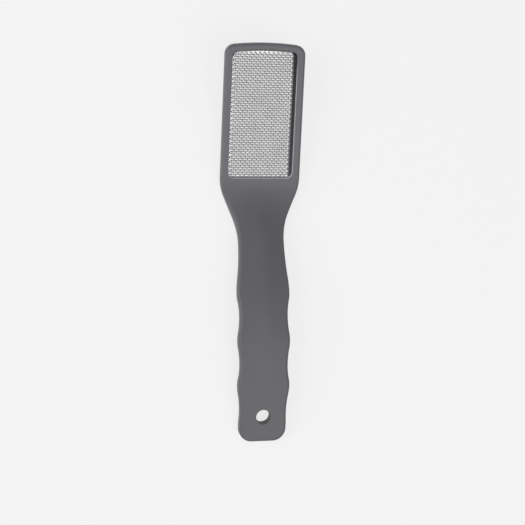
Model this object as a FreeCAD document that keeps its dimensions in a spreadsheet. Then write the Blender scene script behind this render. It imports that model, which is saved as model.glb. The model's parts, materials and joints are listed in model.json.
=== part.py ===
import FreeCAD, Part
import math
import os
import Sketcher

# A foot file: a bent plastic handle whose head frames a window, a pierced steel plate in the window,
# and a ring that holds the plate from behind.
# Everything is drawn in the head's own frame: X along the tool towards the tip, Y across, Z out of
# the filing side, with the origin at the middle of the window on the head's front face. One placement
# then tips all the pieces into the pose in which the tool lies on a table, filing side up.

doc = FreeCAD.newDocument("foot_file")

# Driving sizes in millimetres and degrees.
SIZES = [
    ("head_width", 42.2, "across the head"),
    ("head_corner_radius", 5.2, "the tip's two corners, in plan"),
    ("tip_radius", 150.0, "the tip's shallow bow, in plan"),
    ("tip_bar", 3.5, "window edge to tip"),
    ("head_length", 70.35, "tip to the start of the shoulders"),
    ("body_thickness", 5.0, "front face to back face"),
    ("edge_bevel", 1.0, "softened outer edges of the handle"),
    ("side_bar", 3.6, "window edge to head edge"),
    ("window_length", 67.3, "opening at the front face"),
    ("window_corner_radius", 3.4, "opening's corners"),
    ("lip_chamfer", 0.4, "bevel round the opening's front edge"),
    ("flat_below_window", 2.2, "flat face between the window and the bend"),
    ("neck_radius", 45.0, "bend between head and handle, on the front face"),
    ("neck_angle", 27.0, "turn of that bend"),
    ("arch_radius", 228.0, "handle's arch, on the front face"),
    ("arch_length", 116.0, "handle's arch, along the front face"),
    ("shoulder_radius", 22.8, "outer curve of the shoulder, in plan"),
    ("shoulder_angle", 24.6, "slope of the shoulder, in plan"),
    ("waist_radius", 30.6, "inner curve of the shoulder, in plan"),
    ("waist_width", 24.05, "narrowest place, below the shoulders"),
    ("swell_a_width", 27.75, "grip's first swelling, next to the waist"),
    ("swell_a_place", 77.9, "its distance from the handle's end"),
    ("dip_a_width", 25.4, "first dip"),
    ("dip_a_place", 66.7, "its distance from the handle's end"),
    ("swell_b_width", 27.7, "second swelling"),
    ("swell_b_place", 54.0, "its distance from the handle's end"),
    ("dip_b_width", 25.3, "second dip"),
    ("dip_b_place", 41.0, "its distance from the handle's end"),
    ("swell_c_width", 27.5, "third swelling"),
    ("swell_c_place", 30.6, "its distance from the handle's end"),
    ("dip_c_width", 24.65, "third dip"),
    ("dip_c_place", 15.6, "its distance from the handle's end"),
    ("end_width", 25.1, "handle's end, above its corners"),
    ("end_place", 10.0, "its distance from the handle's end"),
    ("crest_share", 0.31, "part of each wave's run that the swelling's arc takes"),
    ("end_corner_radius", 7.0, "corners of the handle's end, in plan"),
    ("hole_diameter", 7.6, "hanging hole"),
    ("hole_place", 13.8, "hole centre to the handle's end"),
    ("plate_depth", 2.5, "front face to plate"),
    ("plate_thickness", 0.5, "steel sheet"),
    ("plate_lap", 2.0, "plate under the lip, all round"),
    ("seat_clearance", 0.15, "round the plate and the ring in their seat"),
    ("pierce_pitch", 2.4, "piercings in one row, centre to centre"),
    ("pierce_reach", 0.8, "three-sided piercing, centre to corner"),
    ("pierce_margin", 0.5, "plain border between the piercings and the opening"),
    ("ring_step", 0.4, "ring's opening larger than the lip's, each side"),
    ("ring_bevel", 0.4, "bevel of the ring's rear inner edge"),
    ("cut_overrun", 5.0, "cutting shapes past the faces that they cut"),
]

sheet = doc.addObject("Spreadsheet::Sheet", "sizes")
for row, (alias, value, note) in enumerate(SIZES, start=1):
    sheet.set(f"A{row}", alias)
    sheet.set(f"B{row}", str(value))
    sheet.set(f"C{row}", note)
    sheet.setAlias(f"B{row}", alias)
doc.recompute()


def size(alias):
    return float(sheet.get(alias))


def point(x, y, z=0.0):
    return FreeCAD.Vector(x, y, z)


# Places along X that several pieces share, and the window's reach across.
window_half = size("window_length") / 2
window_side = size("head_width") / 2 - size("side_bar")
tip_x = window_half + size("tip_bar")
flat_end_x = -window_half - size("flat_below_window")
shoulder_x = tip_x - size("head_length")
neck_angle = math.radians(size("neck_angle"))
arch_angle = size("arch_length") / size("arch_radius")
neck_centre = point(flat_end_x, 0, size("neck_radius"))
arch_centre = neck_centre - point(math.sin(neck_angle), 0, math.cos(neck_angle)) * (
    size("neck_radius") + size("arch_radius"))
end_tilt = neck_angle - arch_angle
end_x = arch_centre.x + size("arch_radius") * math.sin(end_tilt)
hole_x = end_x + size("hole_place")
hole_front_z = arch_centre.z + math.sqrt(size("arch_radius") ** 2 - (hole_x - arch_centre.x) ** 2)
overrun = size("cut_overrun")


def side_profile():
    """Sketch of the handle seen from the side: flat head, hollow neck and arched grip.

    The front and back lines are concentric, one thickness apart, and run a little past both ends.
    """
    sketch = doc.addObject("Sketcher::SketchObject", "side_profile")
    sketch.Placement = FreeCAD.Placement(point(0, 0, 0), FreeCAD.Rotation(point(1, 0, 0), 90))
    thickness = size("body_thickness")
    neck = point(neck_centre.x, neck_centre.z)
    arch = point(arch_centre.x, arch_centre.z)
    up = point(0, 0, 1)
    far = tip_x + overrun
    first = math.pi / 2 - neck_angle
    last = first + arch_angle + overrun / size("arch_radius")

    def arc(centre, radius, start, stop):
        return Part.ArcOfCircle(Part.Circle(centre, up, radius), start, stop)

    def end_of(radius):
        return arch + point(math.cos(last), math.sin(last)) * radius

    bend_start = 3 * math.pi / 2 - neck_angle
    bend_stop = 3 * math.pi / 2
    front_line, front_neck, front_arch, back_line, back_neck, back_arch, tail_line, tip_line = range(8)
    sketch.addGeometry([
        Part.LineSegment(point(flat_end_x, 0), point(far, 0)),
        arc(neck, size("neck_radius"), bend_start, bend_stop),
        arc(arch, size("arch_radius"), first, last),
        Part.LineSegment(point(flat_end_x, -thickness), point(far, -thickness)),
        arc(neck, size("neck_radius") + thickness, bend_start, bend_stop),
        arc(arch, size("arch_radius") - thickness, first, last),
        Part.LineSegment(end_of(size("arch_radius")), end_of(size("arch_radius") - thickness)),
        Part.LineSegment(point(far, 0), point(far, -thickness)),
    ], False)
    start, stop, centre = 1, 2, 3
    axis = -1
    for line, bend, grip in ((front_line, front_neck, front_arch), (back_line, back_neck, back_arch)):
        sketch.addConstraint(Sketcher.Constraint("Tangent", line, start, bend, stop))
        sketch.addConstraint(Sketcher.Constraint("Tangent", bend, start, grip, start))
        sketch.addConstraint(Sketcher.Constraint("Coincident", tail_line, start if grip == front_arch else stop,
                                                 grip, stop))
        sketch.addConstraint(Sketcher.Constraint("Coincident", tip_line, start if line == front_line else stop,
                                                 line, stop))
    sketch.addConstraint(Sketcher.Constraint("Coincident", front_neck, centre, back_neck, centre))
    sketch.addConstraint(Sketcher.Constraint("PointOnObject", front_line, start, axis))
    sketch.addConstraint(Sketcher.Constraint("Horizontal", front_line))
    sketch.addConstraint(Sketcher.Constraint("Vertical", tip_line))
    driven = [
        ("neck_radius", Sketcher.Constraint("Radius", front_neck, size("neck_radius")), "sizes.neck_radius"),
        ("arch_radius", Sketcher.Constraint("Radius", front_arch, size("arch_radius")), "sizes.arch_radius"),
        ("thickness", Sketcher.Constraint("Distance", tip_line, thickness), "sizes.body_thickness"),
    ]
    for name, constraint, expression in driven:
        index = sketch.addConstraint(constraint)
        sketch.renameConstraint(index, name)
        sketch.setExpression(f"Constraints.{name}", expression)
    return sketch


def wave(left, right):
    """Two tangent arcs from one turning point of the grip's edge to the next, the tighter one at the swelling.

    The edge runs level at both turning points, so the arcs turn alike and meet on the line between them.
    """
    crest = size("crest_share")
    share = crest if left.y > right.y else 1 - crest
    run = right - left
    meet = left + run * share
    turn = math.atan2(run.y, run.x)
    bulge = point(run.y, -run.x) * (math.tan(turn / 2) / 2)
    return [
        Part.Arc(left, (left + meet) * 0.5 + bulge * share, meet).toShape(),
        Part.Arc(meet, (meet + right) * 0.5 - bulge * (1 - share), right).toShape(),
    ]


def corner(centre, radius, start, stop):
    """Arc of a plan corner between two headings from its centre, in degrees."""
    angles = [math.radians(a) for a in (start, (start + stop) / 2, stop)]
    ends = [centre + point(math.cos(a), math.sin(a)) * radius for a in angles]
    return Part.Arc(*ends).toShape()


def plan_outline():
    """Face of the handle seen from above: bowed tip, straight head, shoulders, waist and waved grip."""
    half = size("head_width") / 2
    slope = math.radians(size("shoulder_angle"))
    outer = size("shoulder_radius")
    inner = size("waist_radius")
    waist = size("waist_width") / 2
    straight = (half - waist - (outer + inner) * (1 - math.cos(slope))) / math.sin(slope)
    waist_x = shoulder_x - (outer + inner) * math.sin(slope) - straight * math.cos(slope)
    turns = [point(end_x + size(f"{name}_place"), size(f"{name}_width") / 2)
             for name in ("end", "dip_c", "swell_c", "dip_b", "swell_b", "dip_a", "swell_a")]
    turns.append(point(waist_x, waist))

    small = size("end_corner_radius")
    end_half = size("end_width") / 2
    edges = [Part.LineSegment(point(end_x, 0), point(end_x, end_half - small)).toShape()]
    edges.append(corner(point(end_x + small, end_half - small), small, 180, 90))
    edges.append(Part.LineSegment(point(end_x + small, end_half), turns[0]).toShape())
    for left, right in zip(turns, turns[1:]):
        edges += wave(left, right)
    degrees = size("shoulder_angle")
    edges.append(corner(point(waist_x, waist + inner), inner, 270, 270 + degrees))
    edges.append(Part.LineSegment(edges[-1].lastVertex().Point, edges[-1].lastVertex().Point + point(
        math.cos(slope), math.sin(slope)) * straight).toShape())
    edges.append(corner(point(shoulder_x, half - outer), outer, 90 + degrees, 90))
    edges += bowed_end(point(shoulder_x, half), half, tip_x, size("tip_radius"), size("head_corner_radius"))
    return mirrored_face(edges)


def bowed_end(side_start, half, end, bow, radius):
    """Straight side, rounded corner and half of a bowed end edge, from side_start to the middle."""
    bow_centre = point(end - bow, 0)
    run = math.sqrt((bow - radius) ** 2 - (half - radius) ** 2)
    pivot = bow_centre + point(run, half - radius)
    out = (pivot - bow_centre).normalize()
    touch = bow_centre + out * bow
    heading = math.degrees(math.atan2(out.y, out.x))
    bow_middle = bow_centre + point(math.cos(math.radians(heading / 2)), math.sin(math.radians(heading / 2))) * bow
    return [
        Part.LineSegment(side_start, pivot + point(0, radius)).toShape(),
        corner(pivot, radius, 90, heading),
        Part.Arc(touch, bow_middle, point(end, 0)).toShape(),
    ]


def mirrored_face(edges):
    """Face between a chain of edges on one side of the X axis and its mirror image."""
    half_wire = Part.Wire(edges)
    other = half_wire.mirror(point(0, 0), point(0, 1, 0))
    return Part.Face(Part.Wire(Part.__sortEdges__(half_wire.Edges + other.Edges)))


def window_outline(grow):
    """Face of the window, grown by an even amount on every side. Its upper end follows the tip's bow."""
    half = window_side + grow
    low = -window_half - grow
    radius = size("window_corner_radius") + grow
    edges = [
        Part.LineSegment(point(low, 0), point(low, half - radius)).toShape(),
        corner(point(low + radius, half - radius), radius, 180, 90),
    ]
    edges += bowed_end(point(low + radius, half), half, window_half + grow,
                       size("tip_radius") - size("tip_bar") + grow, radius)
    return mirrored_face(edges)


def flat_shape(name, face, z):
    """Plain document object that holds a plan face at a height."""
    feature = doc.addObject("Part::Feature", name)
    feature.Shape = face
    feature.Placement = FreeCAD.Placement(point(0, 0, z), FreeCAD.Rotation())
    return feature


def extrusion(name, base, direction, length, symmetric=False):
    """Straight extrusion whose length is an expression on the sheet."""
    feature = doc.addObject("Part::Extrusion", name)
    feature.Base = base
    feature.DirMode = "Custom"
    feature.Dir = direction
    feature.Solid = True
    feature.Symmetric = symmetric
    feature.setExpression("LengthFwd", length)
    return feature


def boolean(kind, name, base, tool):
    feature = doc.addObject(kind, name)
    feature.Base = base
    feature.Tool = tool
    return feature


def edge_numbers(shape, wanted):
    return [number for number, edge in enumerate(shape.Edges, start=1) if wanted(edge)]


def upright(face):
    """True for a wall that stands along Z."""
    low, high, left, right = face.ParameterRange
    return abs(face.normalAt((low + high) / 2, (left + right) / 2).z) < 0.01


def rim_edges(shape):
    """Edges where an upright wall meets the front or the back face."""
    walls = [edge for face in shape.Faces if upright(face) for edge in face.Edges]
    broad = [edge for face in shape.Faces if not upright(face) for edge in face.Edges]
    return edge_numbers(shape, lambda edge: any(edge.isSame(other) for other in walls)
                        and any(edge.isSame(other) for other in broad))


def level_edges(shape, z, grow):
    """Edges that lie flat at a height, inside the window's outline grown by an amount."""
    slack = 0.001
    long_reach = window_half + grow + slack
    wide_reach = window_side + grow + slack

    def wanted(edge):
        box = edge.BoundBox
        level = max(abs(box.ZMin - z), abs(box.ZMax - z)) < slack
        inside = max(-box.XMin, box.XMax) < long_reach and max(-box.YMin, box.YMax) < wide_reach
        return level and inside
    return edge_numbers(shape, wanted)


def bevelled(name, base, edges, amount):
    """Chamfer of one amount on numbered edges of a built object."""
    feature = doc.addObject("Part::Chamfer", name)
    feature.Base = base
    feature.Edges = [(number, amount, amount) for number in edges]
    return feature


# Places in Z, from the front face down, and how far each outline stands out from the window's.
plate_front_z = -size("plate_depth")
plate_back_z = plate_front_z - size("plate_thickness")
opening_grow = -size("lip_chamfer")
plate_grow = opening_grow + size("plate_lap")
seat_grow = plate_grow + size("seat_clearance")
ring_grow = opening_grow + size("ring_step")


def handle():
    """Moulded handle: profile and outline crossed, edges softened, then window, seat and hole cut."""
    profile = extrusion("profile_block", side_profile(), point(0, 1, 0), "2 * sizes.head_width", True)
    outline = extrusion("outline_block", flat_shape("plan_outline", plan_outline(), 0), point(0, 0, 1),
                        "2 * sizes.arch_length", True)
    blank = boolean("Part::Common", "blank", profile, outline)
    doc.recompute()
    soft = bevelled("softened", blank, rim_edges(blank.Shape), size("edge_bevel"))

    opening = extrusion("opening", flat_shape("opening_outline", window_outline(opening_grow), overrun),
                        point(0, 0, -1), "sizes.body_thickness + 2 * sizes.cut_overrun")
    seat = extrusion("seat", flat_shape("seat_outline", window_outline(seat_grow), plate_front_z),
                     point(0, 0, -1), "sizes.body_thickness")
    hole = doc.addObject("Part::Cylinder", "hanging_hole")
    hole.setExpression("Radius", "sizes.hole_diameter / 2")
    hole.setExpression("Height", "sizes.body_thickness + 2 * sizes.cut_overrun")
    hole.Placement.Base = point(hole_x, 0, hole_front_z - size("body_thickness") - overrun)
    framed = boolean("Part::Cut", "framed", soft, opening)
    seated = boolean("Part::Cut", "seated", framed, seat)
    pierced = boolean("Part::Cut", "hung", seated, hole)
    doc.recompute()
    lip = level_edges(pierced.Shape, 0, opening_grow)
    return bevelled("handle", pierced, lip, size("lip_chamfer"))


def pierced_sheet():
    """Face of the plate with staggered three-sided piercings that point towards the tip."""
    pitch = size("pierce_pitch")
    reach = size("pierce_reach")
    corners = [point(math.cos(turn), math.sin(turn)) * reach
               for turn in (0, 2 * math.pi / 3, 4 * math.pi / 3, 0)]
    inset = opening_grow - size("pierce_margin") - reach
    last_row = math.floor((window_half + inset) / (pitch / 2))
    half_width = window_side + inset
    wires = []
    for row in range(-last_row, last_row + 1):
        odd = row % 2
        last = math.floor(half_width / pitch - odd / 2)
        for column in range(-last - odd, last + 1):
            centre = point(row * pitch / 2, (column + odd / 2) * pitch)
            wires.append(Part.makePolygon([centre + place for place in corners]))
    return Part.Face([window_outline(plate_grow).OuterWire] + wires)


def file_plate():
    """Pierced steel sheet that lies against the back of the lip."""
    return extrusion("file_plate", flat_shape("pierced_sheet", pierced_sheet(), plate_front_z),
                     point(0, 0, -1), "sizes.plate_thickness")


def retaining_frame():
    """Ring behind the plate, flush with the back of the head."""
    ring = window_outline(plate_grow).cut(window_outline(ring_grow)).Faces[0]
    bar = extrusion("ring", flat_shape("ring_outline", ring, plate_back_z), point(0, 0, -1),
                    "sizes.body_thickness - sizes.plate_depth - sizes.plate_thickness")
    doc.recompute()
    rear = level_edges(bar.Shape, -size("body_thickness"), ring_grow)
    return bevelled("retaining_frame", bar, rear, size("ring_bevel"))


def resting_placement(body):
    """Placement that lays the tool on its neck and the end of its grip, with the box's base centre at zero.

    Seen from the side, the floor touches the circle of the neck's back and the end's rear bevel from below.
    """
    neck_reach = size("neck_radius") + size("body_thickness")
    heel_x = end_x + size("edge_bevel")
    back_radius = size("arch_radius") - size("body_thickness")
    heel = point(heel_x, 0, arch_centre.z + math.sqrt(back_radius ** 2 - (heel_x - arch_centre.x) ** 2))
    apart = neck_centre - heel
    tilt = math.acos(neck_reach / apart.Length) - math.atan2(apart.x, apart.z)
    turn = FreeCAD.Rotation(point(0, 1, 0), math.degrees(tilt))
    laid = body.copy()
    laid.Placement = FreeCAD.Placement(point(0, 0, 0), turn)
    box = laid.optimalBoundingBox()
    return FreeCAD.Placement(point(-(box.XMin + box.XMax) / 2, 0, -box.ZMin), turn)


body = handle()
doc.recompute()
resting = resting_placement(body.Shape)
pieces = [body, file_plate(), retaining_frame()]
for piece in pieces:
    piece.Label = piece.Name
    piece.Placement = resting
doc.recompute()

for item in doc.Objects:
    if "Invalid" in item.State or "Error" in item.State:
        raise RuntimeError(f"{item.Name} failed: {item.State}")
for piece in pieces:
    if piece.Shape.isNull() or not piece.Shape.isValid():
        raise RuntimeError(f"{piece.Label} has no valid shape")

os.makedirs("parts", exist_ok=True)
for piece in pieces:
    piece.Shape.exportStep(f"parts/{piece.Label}.step")
    box = piece.Shape.BoundBox
    print(piece.Label, len(piece.Shape.Solids), "solid", round(piece.Shape.Volume, 1), "mm3", box)
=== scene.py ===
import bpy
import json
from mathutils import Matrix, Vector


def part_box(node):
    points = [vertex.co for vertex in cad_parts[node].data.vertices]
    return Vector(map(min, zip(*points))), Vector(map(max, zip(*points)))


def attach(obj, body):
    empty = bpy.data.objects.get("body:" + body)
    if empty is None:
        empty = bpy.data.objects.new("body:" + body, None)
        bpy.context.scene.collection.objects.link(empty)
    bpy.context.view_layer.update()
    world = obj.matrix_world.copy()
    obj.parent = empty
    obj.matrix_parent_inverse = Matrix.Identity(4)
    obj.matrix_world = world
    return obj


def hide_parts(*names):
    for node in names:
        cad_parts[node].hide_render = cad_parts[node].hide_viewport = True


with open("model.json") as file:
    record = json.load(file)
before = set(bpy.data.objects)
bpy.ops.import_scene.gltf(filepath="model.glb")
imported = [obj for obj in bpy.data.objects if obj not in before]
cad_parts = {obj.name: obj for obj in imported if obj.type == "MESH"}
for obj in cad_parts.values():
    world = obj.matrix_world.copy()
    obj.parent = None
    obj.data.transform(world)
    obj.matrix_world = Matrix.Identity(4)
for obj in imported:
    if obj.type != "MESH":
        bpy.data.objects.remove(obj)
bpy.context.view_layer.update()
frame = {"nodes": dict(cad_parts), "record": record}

import json
import bmesh
import bpy
import numpy as np
from mathutils import Matrix, Vector

# Handle. One moulding in satin grey plastic: a flat head that frames the window, a neck that bends back
# and an arched grip with waved edges and a hanging hole. All its edges are well rounded, and a soft ridge
# runs down the neck and the upper grip.
MM = 0.001
thickness = 5.0 * MM
edge_round = 1.5 * MM
back_edge_rise = 0.7 * MM

# Bend along the handle: level head, hollow neck and arched grip.
flat_end_x = -35.85 * MM
neck_radius = 45.0 * MM
neck_angle = np.radians(27.0)
arch_radius = 228.0 * MM
arch_length = 116.0 * MM
neck_end_x = flat_end_x - neck_radius * np.sin(neck_angle)
arch_x = flat_end_x - (neck_radius + arch_radius) * np.sin(neck_angle)
arch_z = neck_radius - (neck_radius + arch_radius) * np.cos(neck_angle)
end_x = arch_x + arch_radius * np.sin(neck_angle - arch_length / arch_radius)

# The head lies tilted on the table. The hanging hole is bored square to the head's face, so its axis points
# out of that face, and the plate's box gives the middle of the window.
plate_depth = 2.5 * MM
plate_thickness = 0.5 * MM
hanging_hole = next(mount for mount in frame["record"]["mounts"] if mount["name"] == "hanging_hole")
out = np.array(hanging_hole["axis"])
along = np.array([out[2], 0.0, -out[0]])
across = np.array([0.0, 1.0, 0.0])
plate_low, plate_high = (np.array(corner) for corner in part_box("file_plate"))
window_middle = (plate_low + plate_high) / 2 + out * (plate_depth + plate_thickness / 2)


def lay_down(x, y, z):
    """Places on the table, from runs along the head towards its tip, across it and out of its face."""
    return window_middle + x[..., None] * along + y[..., None] * across + z[..., None] * out


def on_body(x, y, depth):
    """Places at a depth under the front face: level on the head, hollow at the neck, arched on the grip.

    The slope is the angle whose sine is the run from the arc's centre over its radius. Depth is measured
    square to the face.
    """
    x, y, depth = np.broadcast_arrays(x, y, depth)
    steepest = np.sin(neck_angle)
    neck_slope = np.arcsin(np.clip((flat_end_x - x) / neck_radius, 0.0, steepest))
    arch_slope = np.arcsin(np.clip((x - arch_x) / arch_radius, -steepest, steepest))
    neck_height = neck_radius * (1 - np.cos(neck_slope))
    arch_height = arch_z + arch_radius * np.cos(arch_slope)
    on_arch = x < neck_end_x
    slope = np.where(on_arch, arch_slope, neck_slope)
    height = np.where(on_arch, arch_height, neck_height)
    return lay_down(x - depth * np.sin(slope), y, height - depth * np.cos(slope))


# Outline seen from above: a grip with three swellings on each edge, a waist, sloping shoulders, and a head
# with a slightly bowed tip. Places of the waves are measured from the handle's end.
head_half = 21.1 * MM
head_corner = 5.2 * MM
tip_bow = 150.0 * MM
tip_x = 37.15 * MM
shoulder_x = -33.2 * MM
shoulder_radius = 22.8 * MM
shoulder_slope = np.radians(24.6)
waist_radius = 30.6 * MM
waist_half = 12.025 * MM
wave_halves = np.array([12.55, 12.325, 13.75, 12.65, 13.85, 12.7, 13.875]) * MM
wave_places = np.array([10.0, 15.6, 30.6, 41.0, 54.0, 66.7, 77.9]) * MM
crest_share = 0.31
end_half = wave_halves[0]
end_corner = 7.0 * MM


def wave_edge(x, left, right):
    """Half-width between two turning points: a tight arc at the swelling and a wide one at the dip.

    Both arcs leave their turning point level, so an arc's rise is its radius less the square root of the
    radius squared less the run squared, and the two meet on the line between the points.
    """
    run = right[0] - left[0]
    rise = right[1] - left[1]
    share = crest_share if rise < 0 else 1 - crest_share
    turn = 2 * np.arctan2(abs(rise), run)
    left_radius = run * share / np.sin(turn)
    right_radius = run * (1 - share) / np.sin(turn)
    from_left = x - left[0]
    from_right = right[0] - x
    near_left = left_radius - np.sqrt(np.maximum(left_radius ** 2 - from_left ** 2, 0.0))
    near_right = right_radius - np.sqrt(np.maximum(right_radius ** 2 - from_right ** 2, 0.0))
    up = np.sign(rise)
    return np.where(from_left < run * share, left[1] + up * near_left, right[1] - up * near_right)


def half_width(x):
    """Half the handle's width: level end, waves, waist, straight slope, shoulder and level head in turn.

    The waist and the shoulder are arcs, each its radius less the root of the radius squared less the run
    squared away from its level line, and the slope touches both.
    """
    slope_fall = head_half - waist_half - (shoulder_radius + waist_radius) * (1 - np.cos(shoulder_slope))
    slope_top = shoulder_x - shoulder_radius * np.sin(shoulder_slope)
    slope_foot = slope_top - slope_fall / np.tan(shoulder_slope)
    waist_x = slope_foot - waist_radius * np.sin(shoulder_slope)
    turns = list(zip(end_x + wave_places, wave_halves)) + [(waist_x, waist_half)]
    width = np.full_like(x, end_half)
    for left, right in zip(turns, turns[1:]):
        width = np.where(x >= left[0], wave_edge(x, left, right), width)
    waist = waist_half + waist_radius - np.sqrt(np.maximum(waist_radius ** 2 - (x - waist_x) ** 2, 0.0))
    foot_half = waist_half + waist_radius * (1 - np.cos(shoulder_slope))
    slope = foot_half + (x - slope_foot) * np.tan(shoulder_slope)
    shoulder_run = np.maximum(shoulder_radius ** 2 - (shoulder_x - x) ** 2, 0.0)
    shoulder = head_half - shoulder_radius + np.sqrt(shoulder_run)
    width = np.where(x >= waist_x, waist, width)
    width = np.where(x >= slope_foot, slope, width)
    width = np.where(x >= slope_top, shoulder, width)
    return np.where(x >= shoulder_x, head_half, width)


# Window, the plate's seat behind it, and the hanging hole near the handle's end.
window_side = 17.5 * MM
window_half = 33.65 * MM
window_corner = 3.4 * MM
window_bow = 146.5 * MM
window_shift_x = 0.45 * MM
window_shift_y = 0.45 * MM
lip_start = 0.05 * MM
lip_round = 0.35 * MM
seat_grow = 1.75 * MM
hole_radius = 3.8 * MM
hole_round = 0.4 * MM
hole_place = 13.8 * MM
hole_x = end_x + hole_place

# Steps of the stations along one half of the outline, from the middle of the end to the middle of the tip,
# and of the rows between them. All surfaces of the handle share them, so that neighbours meet.
end_steps = 6
corner_steps = 10
tail_steps = 8
grip_steps = 130
foot_steps = 6
side_steps = 22
bow_steps = 14
middle_steps = 10
edge_steps = 6
lip_steps = 6
bore_steps = 3
bar_steps = 3
ring_steps = 8


def bowed_corner(half, end, bow, radius):
    """Rounded corner from a straight side to a bowed end, and half of the bow, up to the middle.

    The corner's centre is its radius inside the side, and nearer to the bow's centre than the bow is by
    that radius, so the arcs run on into each other.
    """
    pivot_y = half - radius
    pivot_x = end - bow + np.sqrt((bow - radius) ** 2 - pivot_y ** 2)
    heading = np.arctan2(pivot_y, pivot_x - (end - bow))
    turn = np.linspace(np.pi / 2, heading, corner_steps + 1)
    swing = np.linspace(heading, 0.0, bow_steps + 1)[1:]
    x = np.concatenate([pivot_x + radius * np.cos(turn), end - bow + bow * np.cos(swing)])
    y = np.concatenate([pivot_y + radius * np.sin(turn), bow * np.sin(swing)])
    return x, y


tail_margin = 6.5 * MM
foot_margin = 1.0 * MM
tail_x = hole_x + tail_margin
head_foot_x = -window_half - foot_margin
head_side_x = -window_half + window_corner
end_turn = np.linspace(np.pi, np.pi / 2, corner_steps + 1)
corner_x, corner_y = bowed_corner(head_half, tip_x, tip_bow, head_corner)
side_x = np.concatenate([
    np.linspace(end_x + end_corner, tail_x, tail_steps + 1)[1:],
    np.linspace(tail_x, head_foot_x, grip_steps + 1)[1:],
    np.linspace(head_foot_x, head_side_x, foot_steps + 1)[1:],
    np.linspace(head_side_x, corner_x[0], side_steps + 1)[1:-1],
])
outline_x = np.concatenate([
    np.full(end_steps, end_x),
    end_x + end_corner + end_corner * np.cos(end_turn),
    side_x,
    corner_x,
])
outline_y = np.concatenate([
    np.linspace(0.0, end_half - end_corner, end_steps + 1)[:-1],
    end_half - end_corner + end_corner * np.sin(end_turn),
    half_width(side_x),
    corner_y,
])
tail_index = end_steps + corner_steps + tail_steps
head_index = tail_index + grip_steps

# The rounded edges end on a line inside the outline, set in square to it.
course = np.concatenate([[0.0], np.cumsum(np.hypot(np.diff(outline_x), np.diff(outline_y)))])
normal_x = -np.gradient(outline_y, course)
normal_y = np.gradient(outline_x, course)
normal_x[[0, -1]] = -1.0, 1.0
normal_y[[0, -1]] = 0.0
normal_length = np.hypot(normal_x, normal_y)
normal_x = normal_x / normal_length
normal_y = normal_y / normal_length
inner_x = outline_x - normal_x * edge_round
inner_y = outline_y - normal_y * edge_round

# Shares of the half-width, stepped so that the window's foot meets the neck's rows.
foot_share = (window_side - window_corner) / inner_y[head_index]
across_share = np.concatenate([
    np.linspace(0.0, foot_share, middle_steps + 1),
    np.linspace(foot_share, 1.0, foot_steps + 1)[1:],
])


def edge_band():
    """Outer wall: the outline carried round a quarter circle, down, and round a flatter quarter ellipse."""
    turn = np.linspace(0.0, np.pi / 2, edge_steps + 1)
    inset = edge_round * (1 - np.sin(turn))
    curve = 1 - np.cos(turn)
    inset = np.concatenate([inset, inset[::-1]])[:, None]
    drop = np.concatenate([edge_round * curve, thickness - back_edge_rise * curve[::-1]])[:, None]
    return on_body(outline_x - normal_x * inset, outline_y - normal_y * inset, drop)


crown_height = 1.9 * MM
crown_rise_run = 25.0 * MM
crown_fall_run = 70.0 * MM
ridge_softness = 0.2


def crown(x, share):
    """Height of the soft ridge: full along the neck and upper grip, and gone at the head and at the hole.

    It rises and falls along the handle as three times the square less twice the cube of the run. Across, it
    falls as a hyperbola does, by the root of the share of the half-width squared and the softness squared.
    """
    rise = np.clip((head_foot_x - x) / crown_rise_run, 0.0, 1.0)
    fall = np.clip((x - tail_x) / crown_fall_run, 0.0, 1.0)
    ends = rise ** 2 * (3 - 2 * rise) * fall ** 2 * (3 - 2 * fall)
    foot = np.hypot(1.0, ridge_softness)
    return crown_height * ends * (foot - np.hypot(share, ridge_softness)) / (foot - ridge_softness)


def grip_face(front):
    """Face of the neck and grip: rows straight across between the rounded edges, with the ridge in front."""
    rows = slice(tail_index, head_index + 1)
    x = inner_x[rows, None]
    depth = -crown(x, across_share) if front else thickness
    return on_body(x, inner_y[rows, None] * across_share, depth)


def window_line(grow):
    """Half of the window's outline, grown evenly, from the middle of its foot to the middle of its bow."""
    half = window_side + grow
    low = -window_half - grow
    radius = window_corner + grow
    top_x, top_y = bowed_corner(half, window_half + grow, window_bow + grow, radius)
    turn = np.linspace(np.pi, np.pi / 2, 2 * foot_steps + 1)
    x = np.concatenate([
        np.full(middle_steps, low),
        low + radius + radius * np.cos(turn),
        np.linspace(low + radius, top_x[0], side_steps + 1)[1:-1],
        top_x,
    ])
    y = np.concatenate([
        np.linspace(0.0, half - radius, middle_steps + 1)[:-1],
        half - radius + radius * np.sin(turn),
        np.full(side_steps - 1, half),
        top_y,
    ])
    return x, y


def spread(first, last, steps):
    """Rows of points in even steps from one line of points straight to another."""
    return first + (last - first) * np.linspace(0.0, 1.0, steps + 1)[:, None]


def head_face(side, grow, depth, shift):
    """Face of one side of the head: even steps from its outline to the window's, shifted or not."""
    line_x, line_y = window_line(grow)
    foot_y = inner_y[head_index] * across_share
    rim_x = np.concatenate([np.full(len(foot_y), inner_x[head_index]), inner_x[head_index + 1:]])
    rim_y = np.concatenate([foot_y, inner_y[head_index + 1:]])
    x = spread(rim_x, line_x + shift * window_shift_x, bar_steps)
    y = spread(side * rim_y, side * line_y + shift * window_shift_y, bar_steps)
    return on_body(x, y, depth)


# Painted highlight and painted shade on the window's wall. The level is 1 where the lip is painted pale as
# if lit,
# 0 on plain plastic, and below 0 where shade is painted dark.
painted_highlight_depth = 0.7 * MM
painted_shade_depth = 1.0 * MM
side_painted_highlight = 0.58
fade_steps = 4
painted_shade_peak = 1.6
painted_shade_at_foot = 0.35
painted_shade_at_tip = 0.9
# Depth of the shade painted half-way through the hanging hole's wall.
hole_shade = 0.8


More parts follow.
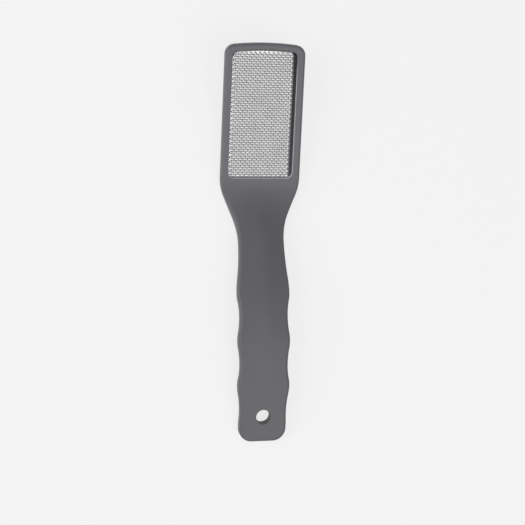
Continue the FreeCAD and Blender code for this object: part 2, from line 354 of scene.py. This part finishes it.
def lip_painted_light(side):
    """Painted light down and along one side of the window's wall, in straight runs between rows and
    stations.

    A highlight is painted on the lip across the foot and up the right side, and shade is painted on the wall
    under it, from the foot's corner up the right side, darker towards the tip.
    """
    row = np.arange(lip_steps + 6)[:, None]
    highlight_row = lip_steps + 1
    highlight = np.interp(row, [0, 2, highlight_row, highlight_row + 2], [0.0, 1.0, 1.0, 0.0])
    foot_end = middle_steps + 2 * foot_steps
    side_end = foot_end + side_steps
    tip_end = side_end + corner_steps
    station = np.arange(tip_end + bow_steps + 1)
    if side > 0:
        return highlight * np.interp(station, [middle_steps, foot_end], [1.0, 0.0])
    highlight_share = np.interp(station, [middle_steps, foot_end, side_end - fade_steps, side_end],
                             [1.0, side_painted_highlight, side_painted_highlight, 0.0])
    # Painted shade down the wall under the lip, to the plate.
    dark = np.interp(row, highlight_row + np.arange(4), [0.0, painted_shade_peak, 1.0, 0.0])
    dark_share = np.interp(station, [foot_end - foot_steps, foot_end, side_end, tip_end],
                           [0.0, painted_shade_at_foot, painted_shade_at_tip, 0.0])
    return highlight * highlight_share - dark * dark_share


def window_wall(side):
    """Wall of one side of the window, with its painted highlight and shade.

    The window's outline is carried round a quarter circle at the lip, down to the plate, out along the
    ledge over it and down the seat's wall. The lip and the wall under it sit off the middle.
    """
    turn = np.linspace(0.0, np.pi / 2, lip_steps + 1)
    wall = lip_start - lip_round
    grow = np.concatenate([lip_start - lip_round * np.sin(turn), [wall, wall, wall, seat_grow, seat_grow]])
    drop = np.concatenate([
        lip_round * (1 - np.cos(turn)),
        [painted_highlight_depth, painted_shade_depth, plate_depth, plate_depth, thickness],
    ])
    shift = np.where(grow < seat_grow, 1.0, 0.0)[:, None]
    lines = np.array([window_line(amount) for amount in grow])
    x = lines[:, 0] + shift * window_shift_x
    y = side * lines[:, 1] + shift * window_shift_y
    return on_body(x, y, drop[:, None]), lip_painted_light(side)


# Line round the hanging hole: across the grip, down its side and along its end to the middle.
tail_top_y = inner_y[tail_index] * across_share
tail_rim_x = np.concatenate([np.full(len(tail_top_y), inner_x[tail_index]), inner_x[:tail_index][::-1]])
tail_rim_y = np.concatenate([tail_top_y, inner_y[:tail_index][::-1]])
hole_bearing = np.arctan2(tail_rim_y, tail_rim_x - hole_x)


def tail_face(depth):
    """Face round the hanging hole: even steps from the outline to the hole's edge at the same bearing."""
    reach = hole_radius + hole_round
    x = spread(tail_rim_x, hole_x + reach * np.cos(hole_bearing), ring_steps)
    y = spread(tail_rim_y, reach * np.sin(hole_bearing), ring_steps)
    return on_body(x, y, depth)


def hole_wall():
    """Wall of the hanging hole, with shade painted on it half-way through, where its level is below zero.

    A circle is carried round a small quarter circle, straight through and round another.
    """
    turn = np.linspace(0.0, np.pi / 2, bore_steps + 1)
    reach = hole_radius + hole_round * (1 - np.sin(turn))
    drop = hole_round * (1 - np.cos(turn))
    reach = np.concatenate([reach, reach[::-1]])[:, None]
    drop = np.concatenate([drop, thickness - drop[::-1]])[:, None]
    wall = on_body(hole_x + reach * np.cos(hole_bearing), reach * np.sin(hole_bearing), drop)
    row = np.arange(len(wall))[:, None]
    shade = np.interp(row, [1, bore_steps, bore_steps + 1, 2 * bore_steps], [0.0, 1.0, 1.0, 0.0])
    return wall, -hole_shade * shade * np.ones(len(hole_bearing))


def unpainted(points):
    """Patch of points with no painted light: its level is zero all over."""
    return points, np.zeros(points.shape[:2])


def head_patches(side):
    """Front and back of one side of the head, and its side of the window."""
    front = head_face(side, grow=lip_start, depth=0.0, shift=1.0)
    back = head_face(side, grow=seat_grow, depth=thickness, shift=0.0)
    return [unpainted(front), unpainted(back), window_wall(side)]


def grid_faces(shape, first):
    """Four-sided faces of a grid whose points are numbered row by row."""
    rows, columns = shape
    corner = first + np.arange(rows - 1)[:, None] * columns + np.arange(columns - 1)
    return np.stack([corner, corner + 1, corner + columns + 1, corner + columns], axis=-1).reshape(-1, 4)


weld_reach = 0.005 * MM
sliver_reach = 0.002 * MM


def smooth_piece(name, points, faces, polish_and_painted_light, sharp_angle, open_border=False):
    """One smooth piece: shared points are welded, an open border gets its wall, and all faces turn outwards.

    Edges sharper than the angle stay sharp. Each point keeps its level for the material: the rasp plate's
    smoother border, or the handle's painted highlight and shade.
    """
    mesh = bpy.data.meshes.new(name)
    mesh.from_pydata(points, [], faces.tolist())
    mesh.attributes.new("polish_and_painted_light", "FLOAT", "POINT").data.foreach_set("value", polish_and_painted_light.astype(np.float32))
    form = bmesh.new()
    form.from_mesh(mesh)
    bmesh.ops.remove_doubles(form, verts=form.verts, dist=weld_reach)
    if open_border:
        bmesh.ops.dissolve_degenerate(form, edges=form.edges, dist=sliver_reach)
        bmesh.ops.bridge_loops(form, edges=[edge for edge in form.edges if edge.is_boundary])
    bmesh.ops.recalc_face_normals(form, faces=form.faces)
    form.to_mesh(mesh)
    form.free()
    mesh.shade_smooth()
    mesh.set_sharp_from_angle(angle=np.radians(sharp_angle))
    piece = bpy.data.objects.new(name, mesh)
    bpy.context.scene.collection.objects.link(piece)
    return piece


even_faces = [edge_band(), grip_face(True), grip_face(False), tail_face(0.0), tail_face(thickness)]
even_patches = [unpainted(points) for points in even_faces] + [hole_wall()]
mirror = np.array([1.0, -1.0, 1.0])
mirrored_patches = [(points * mirror, polish_and_painted_light) for points, polish_and_painted_light in even_patches]
patches = even_patches + mirrored_patches + head_patches(1) + head_patches(-1)
patch_starts = np.cumsum([0] + [polish_and_painted_light.size for points, polish_and_painted_light in patches])
handle = smooth_piece(
    "moulded_handle",
    points=np.concatenate([points.reshape(-1, 3) for points, polish_and_painted_light in patches]),
    faces=np.concatenate([
        grid_faces(polish_and_painted_light.shape, start) for (points, polish_and_painted_light), start in zip(patches, patch_starts)
    ]),
    polish_and_painted_light=np.concatenate([polish_and_painted_light.ravel() for points, polish_and_painted_light in patches]),
    sharp_angle=35.0,
)
even_shade = handle.modifiers.new("even_shade", "WEIGHTED_NORMAL")
even_shade.keep_sharp = True


def tree_of(name):
    """New node material, with its node tree and its shader."""
    material = bpy.data.materials.new(name)
    material.use_nodes = True
    tree = material.node_tree
    return material, tree, tree.nodes["Principled BSDF"]


def cloud(tree, place, scale, detail=3.0):
    """Noise on the piece's own coordinates. The scale is in cells to the metre."""
    noise = tree.nodes.new("ShaderNodeTexNoise")
    noise.inputs["Scale"].default_value = scale
    noise.inputs["Detail"].default_value = detail
    tree.links.new(place, noise.inputs["Vector"])
    return noise.outputs["Fac"]


def ranged(tree, value, low, high, start=0.3, stop=0.7):
    """Value that goes evenly from low to high as another, such as a noise, goes from start to stop."""
    node = tree.nodes.new("ShaderNodeMapRange")
    node.inputs["From Min"].default_value = start
    node.inputs["From Max"].default_value = stop
    node.inputs["To Min"].default_value = low
    node.inputs["To Max"].default_value = high
    tree.links.new(value, node.inputs["Value"])
    return node.outputs["Result"]


def tinted(tree, under, over, factor, blend="MIX"):
    """Colour that goes from one to another with the factor. The first may come from another node."""
    node = tree.nodes.new("ShaderNodeMix")
    node.data_type = "RGBA"
    node.blend_type = blend
    if isinstance(under, bpy.types.NodeSocket):
        tree.links.new(under, node.inputs["A"])
    else:
        node.inputs["A"].default_value = (*under, 1.0)
    node.inputs["B"].default_value = (*over, 1.0)
    tree.links.new(factor, node.inputs["Factor"])
    return node.outputs["Result"]


def polish_and_painted_light_of(tree):
    """Level that the piece's points keep: the rasp plate's smoother border, or the handle's painted
    highlight and shade.
    """
    node = tree.nodes.new("ShaderNodeAttribute")
    node.attribute_name = "polish_and_painted_light"
    return node.outputs["Fac"]


dark_grey = (0.158, 0.160, 0.174)
light_grey = (0.168, 0.170, 0.184)
# Painted shade on the neck and grip, painted highlight on the window's lip, and painted shade in its side
# wall and the hanging hole.
grip_shade_tint = (0.83, 0.83, 0.83)
painted_highlight_grey = (0.75, 0.75, 0.76)
painted_shade_grey = (0.028, 0.028, 0.029)
grip_shade_start_x = 37.0 * MM
grip_shade_full_x = 28.0 * MM


def satin_plastic(name):
    """Moulded plastic: two close greys in soft drifts, a fine spark-eroded grain and an uneven satin sheen.

    The neck and grip have shade painted on them, a little darker. Where the piece's level is above zero, as
    on the window's lip, a paler highlight is painted, and where it is below zero, as in the window's side
    wall and the hanging hole, shade is painted darker.
    """
    material, tree, shader = tree_of(name)
    place = tree.nodes.new("ShaderNodeTexCoord").outputs["Object"]
    spot = tree.nodes.new("ShaderNodeSeparateXYZ")
    tree.links.new(place, spot.inputs["Vector"])
    drift = ranged(tree, cloud(tree, place, scale=45.0), 0.0, 1.0)
    # Painted shade on the neck and grip, fading in between two places along the handle.
    grip_shade = ranged(tree, spot.outputs["X"], 0.0, 1.0, start=grip_shade_start_x, stop=grip_shade_full_x)
    polish_and_painted_light = polish_and_painted_light_of(tree)
    in_painted_shade = ranged(tree, polish_and_painted_light, 1.0, 0.0, start=-1.0, stop=0.0)
    colour = tinted(tree, dark_grey, light_grey, drift)
    # Painted shade on the neck and grip, then the lip's painted highlight, then painted shade where the
    # level is below zero.
    colour = tinted(tree, colour, grip_shade_tint, grip_shade, "MULTIPLY")
    colour = tinted(tree, colour, painted_highlight_grey, polish_and_painted_light)
    colour = tinted(tree, colour, painted_shade_grey, in_painted_shade)
    tree.links.new(colour, shader.inputs["Base Color"])
    grain = cloud(tree, place, scale=2600.0, detail=2.0)
    tree.links.new(ranged(tree, grain, 0.40, 0.52), shader.inputs["Roughness"])
    bump = tree.nodes.new("ShaderNodeBump")
    bump.inputs["Strength"].default_value = 0.25
    bump.inputs["Distance"].default_value = 0.03 * MM
    tree.links.new(grain, bump.inputs["Height"])
    tree.links.new(bump.outputs["Normal"], shader.inputs["Normal"])
    return material


grey_plastic = satin_plastic("satin_grey_plastic")
handle.data.materials.append(grey_plastic)
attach(handle, "root")
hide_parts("handle")

# Rasp plate. Thin stainless sheet, punched from behind in staggered rows: each stroke tears a small crater
# with a raised, ragged rim. Its field is pressed forward into the window, its border is plain and polished,
# and its outer edge lies against the back of the lip.
pitch = 2.4 * MM
cell_reach = pitch / 2
crater_foot = 0.86 * MM
crater_rim = 0.50 * MM
crater_hole = 0.40 * MM
crater_height = 0.38 * MM
crater_sides = 12
torn_waves = 0.16
torn_lean = 0.10
inner_rim_share = 0.92
lattice_x = 0.5 * MM
lattice_y = 0.75 * MM
lattice_rows = 30
lattice_columns = 9
tooth_low_x = -32.5 * MM
tooth_high_x = 32.0 * MM
tooth_low_y = -14.5 * MM
tooth_high_y = 16.8 * MM
field_rise = 1.3 * MM
border_slope = 2.5 * MM
rim_fall = 0.9 * MM
sheet_half_x = 35.0 * MM
sheet_half_y = 18.9 * MM
sheet_corner = 4.8 * MM
cell_overhang = 0.9 * cell_reach


def cell_centres():
    """Centres of the staggered lattice: rows half a pitch apart, every other row moved by half a pitch."""
    row, column = np.meshgrid(
        np.arange(-lattice_rows, lattice_rows + 1),
        np.arange(-lattice_columns, lattice_columns + 1),
        indexing="ij",
    )
    x = row * cell_reach + lattice_x
    y = (column + 0.5 * (row % 2)) * pitch + lattice_y
    keep = (np.abs(y) < sheet_half_y + cell_overhang) & (np.abs(x) < sheet_half_x + cell_overhang)
    return x[keep], y[keep]


def pulled_in(x, y):
    """Points beyond the sheet's rounded outline, drawn in to it.

    They move square to the sides, and at a corner towards its centre, until they are its radius away.
    """
    reach_x = np.maximum(np.abs(x) - (sheet_half_x - sheet_corner), 0.0)
    reach_y = np.maximum(np.abs(y) - (sheet_half_y - sheet_corner), 0.0)
    far = np.maximum(np.hypot(reach_x, reach_y) / sheet_corner, 1.0)
    new_x = np.sign(x) * (np.minimum(np.abs(x), sheet_half_x - sheet_corner) + reach_x / far)
    new_y = np.sign(y) * (np.minimum(np.abs(y), sheet_half_y - sheet_corner) + reach_y / far)
    return new_x, new_y


def field_lift(x, y):
    """Height of the sheet over its seat: full on the field, sloping on the right side, falling at the rim.

    The fall at the rim lies behind the lip and goes by the distance from the window's outline, a rounded
    rectangle with one bowed end.
    """
    from_x = x - window_shift_x
    from_y = y - window_shift_y
    bowed_x = np.abs(from_x + np.where(from_x > 0.0, from_y ** 2 / (2 * window_bow), 0.0))
    reach_x = bowed_x - (window_half - window_corner)
    reach_y = np.abs(from_y) - (window_side - window_corner)
    beyond = np.hypot(np.maximum(reach_x, 0.0), np.maximum(reach_y, 0.0))
    inside = window_corner - beyond - np.minimum(np.maximum(reach_x, reach_y), 0.0)
    near_lip = np.clip(1.0 + (inside - (lip_round - lip_start)) / rim_fall, 0.0, 1.0)
    near_side = np.clip((window_side + from_y) / border_slope, 0.0, 1.0)
    return field_rise * np.minimum(near_lip, near_side)


def sheet_cells():
    """Stacks of rings for all cells, squares set on their corners: the toothed ones, then the blank ones.

    A cell's border lies at the reach over the sum of its bearing's sine and cosine, so that neighbours share
    their border points. A toothed cell rises in rings to a crater and drops through the sheet. The rim's
    height wavers with the bearing, as torn metal does.
    """
    centre_x, centre_y = cell_centres()
    toothed = (tooth_low_x < centre_x) & (centre_x < tooth_high_x)
    toothed &= (tooth_low_y < centre_y) & (centre_y < tooth_high_y)
    bearing = np.arange(crater_sides) * 2 * np.pi / crater_sides
    border = cell_reach / (np.abs(np.cos(bearing)) + np.abs(np.sin(bearing)))
    flat = np.zeros(crater_sides)
    foot = flat + crater_foot
    rim = flat + crater_rim
    hole = flat + crater_hole
    under = flat - plate_thickness
    ragged = crater_height * (1.0 + torn_waves * np.cos(3 * bearing) + torn_lean * np.cos(bearing))
    tooth_reach = np.array([border, foot, rim, hole, hole, border])
    tooth_lift = np.array([flat, flat, ragged, ragged * inner_rim_share, under, under])
    blank_reach = np.array([border, flat, flat, border])
    blank_lift = np.array([flat, flat, under, under])
    stacks = []
    for chosen, reach, lift in ((toothed, tooth_reach, tooth_lift), (~toothed, blank_reach, blank_lift)):
        x = centre_x[chosen][:, None, None] + reach * np.cos(bearing)
        y = centre_y[chosen][:, None, None] + reach * np.sin(bearing)
        x, y = pulled_in(x, y)
        stacks.append(lay_down(x, y, lift - plate_depth + field_lift(x, y)))
    return stacks


def ring_faces(stacks, bands, first):
    """Four-sided faces from each ring that a band starts at to the next, in many alike stacks of rings."""
    count, rings = stacks.shape[:2]
    stack = first + np.arange(count)[:, None, None] * rings * crater_sides
    ring = np.array(bands)[:, None] * crater_sides
    step = np.arange(crater_sides)
    low = stack + ring + step
    low_on = stack + ring + (step + 1) % crater_sides
    return np.stack([low, low_on, low_on + crater_sides, low + crater_sides], axis=-1).reshape(-1, 4)


# A toothed cell is closed from ring to ring, and a blank one has only its front and its back.
toothed_cells, blank_cells = sheet_cells()
toothed_points = toothed_cells.reshape(-1, 3)
blank_points = blank_cells.reshape(-1, 3)
toothed_bands = range(toothed_cells.shape[1] - 1)
blank_bands = (0, 2)
rasp = smooth_piece(
    "rasp_plate",
    points=np.concatenate([toothed_points, blank_points]),
    faces=np.concatenate([
        ring_faces(toothed_cells, toothed_bands, 0),
        ring_faces(blank_cells, blank_bands, len(toothed_points)),
    ]),
    polish_and_painted_light=np.concatenate([np.zeros(len(toothed_points)), np.ones(len(blank_points))]),
    sharp_angle=50.0,
    open_border=True,
)

dark_steel = (0.51, 0.51, 0.52)
light_steel = (0.58, 0.58, 0.58)
polished_roughness = 0.16
line_stretch = 0.05


def rasp_steel(name):
    """Bright stainless: two close tints in patches, with fine rolling lines along the sheet in its sheen.

    Where the sheet has polish, as on its border, it is smoother.
    """
    material, tree, shader = tree_of(name)
    place = tree.nodes.new("ShaderNodeTexCoord").outputs["Object"]
    patchy = ranged(tree, cloud(tree, place, scale=160.0), 0.0, 1.0)
    tree.links.new(tinted(tree, dark_steel, light_steel, patchy), shader.inputs["Base Color"])
    turn = tree.nodes.new("ShaderNodeMapping")
    turn.inputs["Rotation"].default_value = (0.0, float(np.arcsin(along[2])), 0.0)
    turn.inputs["Scale"].default_value = (line_stretch, 1.0, 1.0)
    tree.links.new(place, turn.inputs["Vector"])
    lines = cloud(tree, turn.outputs["Vector"], scale=4000.0, detail=2.0)
    sheen = tree.nodes.new("ShaderNodeMix")
    sheen.inputs["B"].default_value = polished_roughness
    tree.links.new(ranged(tree, lines, 0.30, 0.42), sheen.inputs["A"])
    tree.links.new(polish_and_painted_light_of(tree), sheen.inputs["Factor"])
    tree.links.new(sheen.outputs["Result"], shader.inputs["Roughness"])
    shader.inputs["Metallic"].default_value = 1.0
    return material


rasp.data.materials.append(rasp_steel("rasp_stainless"))
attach(rasp, "root")
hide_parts("file_plate")

# Retaining ring. A flat plastic ring set into the back of the head behind the plate, flush with the back
# face, in the same grey as the handle.
ring = frame["nodes"]["retaining_frame"]
ring.data.materials.clear()
ring.data.materials.append(grey_plastic)

# Floor, light and camera. The tool lies on a wide pale floor under two large soft panels, one over the
# grip's end and one at the left. The camera looks down on the filing side, a little from the left.
floor_half = 3.0
floor_pale = (0.913, 0.913, 0.913, 1.0)
floor_glow = (0.956, 0.956, 0.956, 1.0)
shadow_share = 0.2
floor_corners = [(x * floor_half, y * floor_half, 0.0) for x, y in ((-1, -1), (1, -1), (1, 1), (-1, 1))]
floor_mesh = bpy.data.meshes.new("floor")
floor_mesh.from_pydata(floor_corners, [], [(0, 1, 2, 3)])
floor = bpy.data.objects.new("floor", floor_mesh)
bpy.context.scene.collection.objects.link(floor)


def shown(tree):
    """One for what the camera sees straight, mirrored or through glass, zero for what only gives light."""
    rays = tree.nodes.new("ShaderNodeLightPath")
    seen = rays.outputs["Is Camera Ray"]
    for kind in ("Is Glossy Ray", "Is Transmission Ray"):
        either = tree.nodes.new("ShaderNodeMath")
        either.operation = "MAXIMUM"
        tree.links.new(seen, either.inputs[0])
        tree.links.new(rays.outputs[kind], either.inputs[1])
        seen = either.outputs["Value"]
    return seen


def pale_floor(name):
    """Pale floor: most of what is seen of it glows evenly, and the rest takes light and shadow."""
    material, tree, shader = tree_of(name)
    shader.inputs["Base Color"].default_value = floor_pale
    shader.inputs["Roughness"].default_value = 0.9
    shader.inputs["Specular IOR Level"].default_value = 0.0
    glow = tree.nodes.new("ShaderNodeEmission")
    glow.inputs["Color"].default_value = floor_glow
    mixed = tree.nodes.new("ShaderNodeMixShader")
    tree.links.new(ranged(tree, shown(tree), 0.0, 1.0 - shadow_share, 0.0, 1.0), mixed.inputs["Fac"])
    tree.links.new(shader.outputs["BSDF"], mixed.inputs[1])
    tree.links.new(glow.outputs["Emission"], mixed.inputs[2])
    tree.links.new(mixed.outputs["Shader"], tree.nodes["Material Output"].inputs["Surface"])
    return material


floor_mesh.materials.append(pale_floor("pale_floor"))

# The room round the tool gives soft light from all sides, and the steel mirrors it.
room_light = 0.30
room_shown = 0.33
world = bpy.data.worlds.new("studio")
world.use_nodes = True
studio = world.node_tree
room = studio.nodes["Background"]
room.inputs["Color"].default_value = (1.0, 1.0, 1.0, 1.0)
studio.links.new(ranged(studio, shown(studio), room_light, room_shown, 0.0, 1.0), room.inputs["Strength"])
bpy.context.scene.world = world


def facing(place, aim):
    """Matrix of a lamp or camera that stands at a place and looks at an aim."""
    return Matrix.Translation(place) @ (place - aim).to_track_quat("Z", "Y").to_matrix().to_4x4()


def soft_panel(name, bearing, height, distance, side, radiance):
    """Square soft light that faces the tool, at angles in degrees.

    Its power is pi times its area times its radiance.
    """
    bearing, height = np.radians((bearing, height))
    flat = np.cos(height)
    place = Vector((flat * np.cos(bearing), flat * np.sin(bearing), np.sin(height))) * distance
    lamp = bpy.data.lights.new(name, "AREA")
    lamp.size = side
    lamp.energy = np.pi * side ** 2 * radiance
    panel = bpy.data.objects.new(name, lamp)
    panel.matrix_world = facing(place, Vector((0.0, 0.0, 0.0)))
    bpy.context.scene.collection.objects.link(panel)


soft_panel("grip_end_panel", bearing=205.0, height=58.0, distance=2.4, side=1.9, radiance=1.6)
soft_panel("left_panel", bearing=92.0, height=36.0, distance=2.4, side=1.6, radiance=2.8)

camera_place = Vector((-0.425, 181.215, 770.765)) * MM
camera_aim = Vector((-9.574, 0.261, 10.0)) * MM
camera_roll = np.radians(92.297)
camera_data = bpy.data.cameras.new("camera")
camera_data.sensor_width = 36.0
camera_data.lens = 102.857
camera_data.clip_end = 20.0
camera = bpy.data.objects.new("camera", camera_data)
camera.matrix_world = facing(camera_place, camera_aim) @ Matrix.Rotation(camera_roll, 4, "Z")
bpy.context.scene.collection.objects.link(camera)
bpy.context.scene.camera = camera
bpy.context.scene.view_settings.view_transform = "Standard"
